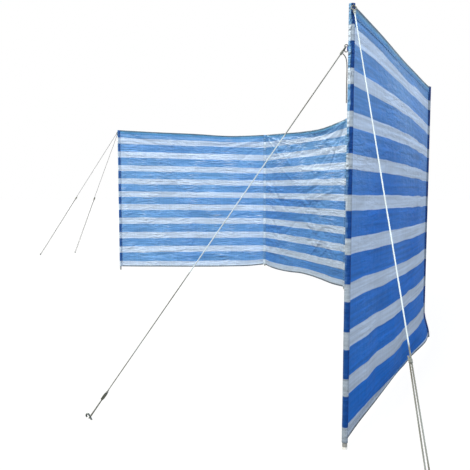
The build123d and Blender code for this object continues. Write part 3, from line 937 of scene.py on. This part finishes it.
def sew_pocket(pole):
    """The tube of cloth that a pole stands in, closed over its head."""
    outline = pocket_outline(pole)
    count = len(outline)
    ways = []
    for n in range(count):
        step = outline[(n + 1) % count][0] - outline[n - 1][0]
        ways.append(Vector((step.y, -step.x)).normalized())
    lengths = [0.0]
    for n in range(count):
        lengths.append(lengths[-1] + (outline[(n + 1) % count][0] - outline[n][0]).length)
    seed = 5.9 * pole + 3

    def at(s, t):
        n = round(s * count)
        row = round(t * POCKET_ROWS)
        shut = max(0, row - (POCKET_ROWS - CLOSING_ROWS)) / CLOSING_ROWS
        y = CLOTH_HEIGHT * min(1.0, row / (POCKET_ROWS - CLOSING_ROWS))
        return n, y, shut

    def place(s, t):
        n, y, shut = at(s, t)
        point, spine = outline[n % count]
        way = ways[n % count]
        around = lengths[n % count]
        tube = tube_share(point)
        loose = 0.5 + 0.5 * waver(way.x * 1.3, way.y * 1.3 + y * 11, seed)
        pleat = 0.5 + 0.5 * waver(way.x * 2.4 + y * 9, way.y * 2.4, y * 48 + seed)
        swell = tube * (0.3 * MM * loose + 0.5 * MM * pleat)
        swell += (1 - tube) * 0.35 * MM * (0.5 + 0.5 * waver(around * 60, y * 70, seed + 9))
        swell *= 1 - 0.7 * smooth(0, 1, shut)
        flat = point + way * swell
        drawn = smooth(0, 1, shut)
        flat = flat * (1 - drawn) + spine * drawn
        z = BOTTOMS[pole] + y * (1 - 0.8 * MM / CLOTH_HEIGHT) + 0.8 * MM * min(1.0, shut * 1.5)
        mouth = mouth_at(pole, y) * smooth(-POCKET_RADIUS, -1 * MM, flat.dot(LOOSE_MOUTH.xy.normalized()))
        return POLES[pole] + Vector((flat.x, flat.y, z)) + mouth

    def pattern(s, t):
        n, y, shut = at(s, t)
        bay, end = (pole, 0.0) if pole < len(CHORDS) else (pole - 1, 1.0)
        _, white_grey, _ = wear_and_light_at(bay, 0.0, y)
        # Painted light and fading: the side towards the light is paler, more so higher up, and the creases
        # in it are pale. Painted shade darkens the other side
        way = ways[n % count]
        ragged = 0.45 * waver(way.x * 2, way.y * 2, y * 60 + pole)
        reach = way.dot(LIT_SIDE) + 0.3 * smooth(0.6, 1.3, y) + ragged
        lit_share = smooth(0.2, 0.6, reach) if tube_share(outline[n % count][0]) > 0.5 else 0.0
        lit_share = min(max(lit_share * (0.1 + 0.9 * smooth(0.3, 1.3, y)), LEAST_PALE[pole]), 1.0)
        # Darker at the foot and over the head, with painted shade on the side away from the light
        grime_and_shade = 0.4 * (1 - smooth(2 * MM, 9 * MM, y)) + 0.25 * smooth(0, 1, shut)
        grime_and_shade += SHADED[pole] * (1 - lit_share)
        wear_and_light = lit_share, white_grey * (1 - lit_share), min(grime_and_shade, 1.0)
        return lengths[n] + POCKET_STEP * pole, y, printed(bay, end, y), wear_and_light

    piece = shaped_sheet(count, POCKET_ROWS, place, pattern)
    close_seams(piece)
    finish(piece, f"pocket_{pole + 1}", POCKET_CLOTH, FOLD_THICKNESS, -1.0, 75)
    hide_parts(f"sleeve_{pole + 1}")
    return piece, lengths[-1]


def fold_tab(ring):
    """The tab of cloth that holds a link's back to the pocket."""
    pole, angle, height, drop = RINGS[ring]
    out, side = along(angle), along(angle + 90)
    wrap = WIRE_RADIUS + 0.9 * MM
    inner = POCKET_RADIUS - 1.0 * MM
    profile = [(inner, -wrap * 1.5), (inner + 1.2 * MM, -wrap * 1.15)]
    for k in range(9):
        a = -pi / 2 + pi * k / 8
        profile.append((LINK_BACK + wrap * cos(a), wrap * sin(a)))
    profile += [(inner + 1.2 * MM, wrap * 1.15), (inner, wrap * 1.5)]
    tall = height - 2 * WIRE_RADIUS - 2 * LINK_CORNER
    low = TOPS[pole] - drop - 2 * WIRE_RADIUS - LINK_CORNER - tall

    def place(s, t):
        x, y = profile[round(s * (len(profile) - 1))]
        pucker = 0.12 * MM * waver(s * 4, t * 5, pole + angle)
        return POLES[pole] + out * (x + pucker) + side * (y + pucker) + Vector((0, 0, low + tall * t))

    def pattern(s, t):
        y = CLOTH_HEIGHT - drop - tall * (1 - t)
        turns = printed(0, 0.0, y) if pole == 0 else printed(3, 1.0, y)
        return s * 14 * MM + 9, y, turns, (0.0, 0.5, 0.2)

    piece = shaped_sheet(len(profile) - 1, 8, place, pattern)
    finish(piece, f"link_tab_{ring}", POCKET_CLOTH, 0.5 * MM, -1.0, 75)


STITCH, STITCH_GAP = 4.2 * MM, 1.8 * MM
THREAD_RADIUS = 0.45 * MM
THREAD_SLOPE = 0.9 * MM  # over which a stitch rises out of its hole


def stitch_rows(name, rows):
    """Lockstitches: each row is a list of points on the cloth, with its outward direction."""
    points, faces = [], []
    for row in rows:
        for (a, out), (b, _) in zip(row[::2], row[1::2]):
            run = (b - a).normalized()
            side = run.cross(out).normalized() * THREAD_RADIUS
            base = len(points)
            for place, width, rise in (
                (a, 0.6, -0.15),
                (a + run * THREAD_SLOPE, 1.0, 0.4),
                (b - run * THREAD_SLOPE, 1.0, 0.4),
                (b, 0.6, -0.15),
            ):
                points.append(place + side * width + out * rise * MM)
                points.append(place - side * width + out * rise * MM)
            for k in (0, 2, 4):
                faces.append([base + k + n for n in (0, 1, 3, 2)])
            faces.append([base + n for n in (0, 6, 7, 1)])
            faces.append([base + n for n in (0, 2, 4, 6)])
            faces.append([base + n for n in (1, 7, 5, 3)])
    piece = built_mesh(name, points, faces)
    deselect()
    finish(piece, name, THREAD, angle=30)
    return piece


def run_of_stitches(length):
    """Both ends of each stitch along a seam."""
    pitch = STITCH + STITCH_GAP
    for n in range(int(length / pitch)):
        yield n * pitch + STITCH_GAP
        yield (n + 1) * pitch


def sew_hems(bay):
    """A row of stitches on both faces of both hems of a bay."""
    span = CHORDS[bay] - 2 * SEAM_CLEAR
    rows = []
    for y in (CLOTH_HEIGHT - TOP_HEM + SEAM_INSET, BOTTOM_HEM - SEAM_INSET):
        for face in (-1, 1):
            row = []
            for x in run_of_stitches(span):
                lift = face * (FOLD_HALF - 0.1 * MM)
                at = cloth_point(bay, SEAM_CLEAR + x, y, lift)
                off = (cloth_point(bay, SEAM_CLEAR + x, y, 2 * lift) - at).normalized()
                row.append((at, off))
            rows.append(row)
    return stitch_rows(f"hem_stitches_{bay + 1}", rows)


def sew_lips(pole):
    """A row of stitches on both faces of each lip of a pocket."""
    rows = []
    reach = POCKET_RADIUS + LIP - LIP_SEAM
    for angle in seam_directions(pole):
        out = Vector((cos(angle), sin(angle), 0))
        side = Vector((-out.y, out.x, 0))
        for face in (-1, 1):
            start = POLES[pole] + out * reach + side * face * (FOLD_HALF + 0.15 * MM)
            row = []
            for z in run_of_stitches(CLOTH_HEIGHT - 2 * MM):
                row.append((start + mouth_at(pole, z) + Vector((0, 0, BOTTOMS[pole] + z)), side * face))
            rows.append(row)
    return stitch_rows(f"pocket_stitches_{pole + 1}", rows)


# Ropes


def resampled(path, step):
    """Points a step apart along a line of points."""
    gone = [0.0]
    for a, b in zip(path, path[1:]):
        gone.append(gone[-1] + (b - a).length)
    count = max(2, round(gone[-1] / step))
    found, k = [], 0
    for n in range(count + 1):
        want = gone[-1] * n / count
        while k < len(path) - 2 and gone[k + 1] < want:
            k += 1
        share = (want - gone[k]) / max(gone[k + 1] - gone[k], 1e-9)
        found.append(path[k].lerp(path[k + 1], min(share, 1.0)))
    return found


def lay_strands(path, radius, lay, step, points, faces, prints, strands=3):
    """Adds a rope of laid strands along a path, with round sealed ends."""
    line = resampled(path, step)
    sides = strands * 3
    run = (line[1] - line[0]).normalized()
    side = run.orthogonal().normalized()
    base, gone = len(points), 0.0
    rings = len(line)
    for n, at in enumerate(line):
        ahead = line[min(n + 1, rings - 1)] - line[max(n - 1, 0)]
        ahead.normalize()
        side = (side - ahead * side.dot(ahead)).normalized()
        up = ahead.cross(side)
        if n:
            gone += (at - line[n - 1]).length
        near_end = min(n, rings - 1 - n)
        size = radius * (0.55, 0.9, 1.0)[min(near_end, 2)]
        for k in range(sides):
            round_it = 2 * pi * k / sides
            bump = 0.78 + 0.22 * abs(sin(strands * round_it / 2))
            a = round_it + 2 * pi * gone / lay
            points.append(at + (side * cos(a) + up * sin(a)) * size * bump)
    for n in range(rings - 1):
        for k in range(sides):
            a, b = base + n * sides + k, base + n * sides + (k + 1) % sides
            faces.append([a, b, b + sides, a + sides])
            u, v = n * step, k * 1.4 * MM
            prints.append([(u, v), (u, v + 1.4 * MM), (u + step, v + 1.4 * MM), (u + step, v)])
    for first, order in ((base, -1), (base + (rings - 1) * sides, 1)):
        face = [first + k for k in range(sides)][::order]
        faces.append(face)
        prints.append([(0.001 * k, 0.0) for k in range(sides)])


def guy_plane(name):
    """Start of a guy, its directions across, down and square to both, and its length."""
    pole, angle, reach, _ = GUYS[name]
    ring, eye_drop = TIES[name]
    ring_pole, ring_angle, _, ring_drop = RINGS[ring]
    start = POLES[ring_pole] + along(ring_angle) * (LINK_BACK + LINK_DEPTH)
    start = start + Vector((0, 0, TOPS[pole] - ring_drop - eye_drop))
    end = POLES[pole] + along(angle) * reach + Vector((0, 0, LOOP_HEIGHT))
    down = (end - start).normalized()
    across = down.cross(Vector((0, 0, 1))).normalized()
    return start, across, down, across.cross(down), (end - start).length


def eye_and_knot(square):
    """A guy's eye: its radius, how far it reaches back from its bar, and where its knot starts."""
    pair = ROPE_RADIUS + WIRE_RADIUS
    bearing = (pair + ROPE_GAP) / square.z
    eye = (bearing + (pair + EYE_PLAY) / square.z) / 2
    return eye, bearing, 2 * eye - bearing


def wound(x, start, length, turns, rope, radius=KNOT_RADIUS):
    """A rope wound round an axis that runs along y, as points in a guy's plane."""
    spread = radius - rope
    first, last = start + rope, start + length - rope
    steps = int(turns * 16)
    for n in range(steps + 1):
        a = 2 * pi * turns * n / steps
        ends = min(1.0, min(n, steps - n) / 5)
        yield x + spread * ends * cos(a), first + (last - first) * n / steps, spread * ends * sin(a)


def loop_and_leg(name, length):
    """The rope's way round the peg and back, as points in the guy's plane, ending at its knot."""
    radius = LEG_SPACING / 2
    x, y = 2 * ROPE_RADIUS + 2 * ROPE_GAP, GUYS[name][3] * length
    if name != KNOTTED:
        x, y = x + RUNNER_WEB, y - ROPE_GAP
    inward, up = radius - x, length - y
    slant = asin(radius / hypot(inward, up)) + atan2(inward, up)
    swing = [(pi + slant) * n / 16 for n in range(17)]
    return [(radius * (1 - cos(a)), length + radius * sin(a)) for a in swing] + [(x, y)]


CLEAN_STRETCH = {"5a": (0.32, 0.85), "5b": (0.03, 1.0)}  # metres along a rope that nobody handles
DIRT_EDGE = 20 * MM
OLD_DIRT = 0.7  # on a rope that is dirty all along
END_DIRT, CLEANER = 0.85, 0.75  # at the ends of the others, and how much less between


def dirt_on(name, gone):
    """How dirty a rope is at a distance along it."""
    if name not in CLEAN_STRETCH:
        return OLD_DIRT
    first, last = CLEAN_STRETCH[name]
    inside = smooth(first - DIRT_EDGE, first, gone) * (1 - smooth(last, last + DIRT_EDGE, gone))
    return END_DIRT - CLEANER * inside


def twist_rope(name):
    """A guy from its eye on the link, through the runner, round the peg and back to its knot."""
    start, across, down, square, length = guy_plane(name)

    def place(x, y, z=0.0):
        return start + across * x + down * y + square * z

    eye, bearing, knot = eye_and_knot(square)
    points, faces, prints = [], [], []

    def lay(path, step=ROPE_STEP, radius=ROPE_RADIUS):
        lay_strands([place(*p) for p in path], radius, ROPE_LAY, step, points, faces, prints)

    def wind(*where):
        lay(list(wound(*where[:4], ROPE_RADIUS * 0.95, *where[4:])), 1.0 * MM, ROPE_RADIUS * 0.95)

    open_angle = radians(EYE_OPENING)
    turns = [pi / 2 + open_angle + (2 * pi - 2 * open_angle) * n / 22 for n in range(23)]
    ring = [(eye * cos(a), eye - bearing + eye * sin(a)) for a in turns]
    neck, low = 1.2 * MM, knot + 2.5 * MM
    lay([(-neck, low)] + ring + [(neck, low)], FINE_STEP)
    wind(0, knot - 0.5 * MM, KNOT_LENGTH, KNOT_TURNS)
    way = loop_and_leg(name, length)
    x, y = way[-1]
    if name == KNOTTED:
        way[-1] = (x, y - 3 * MM)
        wind(x / 2, y - LOOP_KNOT_LENGTH / 2, LOOP_KNOT_LENGTH, LOOP_KNOT_TURNS, LOOP_KNOT_RADIUS)
        free = [(x, y), (x + 1.2 * MM, y - LOOP_KNOT_LENGTH / 2 - 5 * MM)]
    else:
        wind(x, y - STOP_KNOT_LENGTH, STOP_KNOT_LENGTH, STOP_KNOT_TURNS)
        free = [(x, y - 4 * MM), (x + 0.6 * MM, y - STOP_KNOT_LENGTH - 6 * MM)]
    lay([(0, knot + KNOT_LENGTH - 6 * MM)] + way)
    lay(free, FINE_STEP)
    dirt = [dirt_on(name, (point - start).dot(down)) for point in points]
    piece = built_mesh(f"laid_rope_{name}", points, faces, prints, dirt)
    finish(piece, f"laid_rope_{name}", WHITE_ROPE if name in CLEAN_STRETCH else DARK_ROPE, angle=80)
    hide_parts(f"guy_rope_{name}")
    return piece


# The free end of rope 5a: out from the pole, across and up, from under its knot
TAIL_ROUTE = (
    (0.0, 0.0, 0.0),
    (-6.5, 0.3, -6.0),
    (-12.2, 1.5, -22.0),
    (-13.2, 3.4, -52.0),
    (-12.4, 2.2, -92.0),
    (-13.0, 3.6, -124.0),
    (-12.6, 2.6, -148.0),
)
TAIL_RADIUS = 1.5 * MM
TAIL_LAY, TAIL_STEP, TAIL_DIRT = 11 * MM, 1.1 * MM, 0.8


def hang_tail():
    start, _, down, square, _ = guy_plane("5a")
    knot = eye_and_knot(square)[2]
    exit_point = start + down * (knot + KNOT_LENGTH / 2) - square * (KNOT_RADIUS + ROPE_GAP)
    out, side = along(GUYS["5a"][1]), along(GUYS["5a"][1] + 90)
    data = bpy.data.curves.new("tail_route", "CURVE")
    data.dimensions = "3D"
    data.resolution_u = 24
    spline = data.splines.new("NURBS")
    spline.points.add(len(TAIL_ROUTE) - 1)
    for point, (x, y, z) in zip(spline.points, TAIL_ROUTE):
        at = exit_point + (out * x + side * y + Vector((0, 0, z))) * MM
        point.co = (*at, 1)
    spline.order_u = 3
    spline.use_endpoint_u = True
    route = bpy.data.objects.new("tail_route", data)
    bpy.context.collection.objects.link(route)
    bpy.context.view_layer.update()
    read = bpy.data.meshes.new_from_object(route.evaluated_get(bpy.context.evaluated_depsgraph_get()))
    line = [v.co.copy() for v in read.vertices]
    bpy.data.meshes.remove(read)
    bpy.data.objects.remove(route)
    points, faces, prints = [], [], []
    lay_strands(line, TAIL_RADIUS, TAIL_LAY, TAIL_STEP, points, faces, prints)
    piece = built_mesh("rope_tail_5a", points, faces, prints, [TAIL_DIRT] * len(points))
    finish(piece, "rope_tail_5a", DARK_ROPE, angle=80)
    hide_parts("guy_tail_5a")
    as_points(line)


# Build


def dress_frame():
    """Gives the nodes that stay their finishes."""
    finishes = {
        "pole_foot": FOOT_STEEL,
        "pole": POLE_STEEL,
        "guy_ring": LINK_WIRE,
        "guy_runner": PALE_RUNNER,
        "guy_peg": PEG_STEEL,
    }
    for name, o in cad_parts.items():
        kind = name.rsplit("_", 1)[0]
        if kind in finishes:
            chosen = DARK_RUNNER if name == "guy_runner_5a" else finishes[kind]
            for place in o.material_slots:
                place.material = chosen
            if not o.material_slots:
                o.data.materials.append(chosen)


stand_camera()
light_studio()
lay_floor()
dress_frame()
hang_tail()
for name in GUYS:
    twist_rope(name)
for ring in RINGS:
    fold_tab(ring)
for pole in range(len(POLES)):
    pocket, girth = sew_pocket(pole)
    seams = sew_lips(pole)
for bay in range(len(CHORDS)):
    cloth = hang_bay(bay)
    hems = [fold_hem(bay, TOP_HEM, True), fold_hem(bay, BOTTOM_HEM, False)]
    seams = sew_hems(bay)
